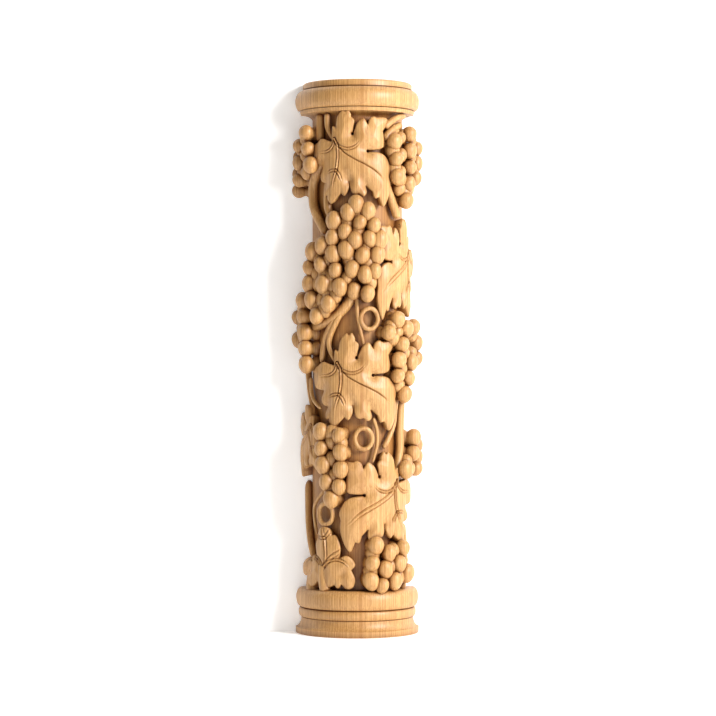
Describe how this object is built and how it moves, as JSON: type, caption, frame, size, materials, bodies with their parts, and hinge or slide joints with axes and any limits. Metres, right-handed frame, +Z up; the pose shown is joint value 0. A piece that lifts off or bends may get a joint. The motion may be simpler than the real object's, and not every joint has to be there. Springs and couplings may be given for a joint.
{
  "type": "carved half column",
  "caption": "Wooden half column with a flat back, carved with vine leaves, bunches of grapes and tendrils between a turned base and a turned capital.",
  "frame": {"origin": "on the flat underside, on the column's plane of symmetry, midway between the front of the base and the flat back", "axes": "+Z up along the column, +Y out of the flat back towards the wall, so the carved side faces -Y and +X is the viewer's right"},
  "size_m": [0.173, 0.0865, 0.72],
  "materials": {
    "wood": "satin, fine sanded, straight upright grain"
  },
  "bodies": {
    "root": {"half_column": "wood"}
  },
  "joints": []
}
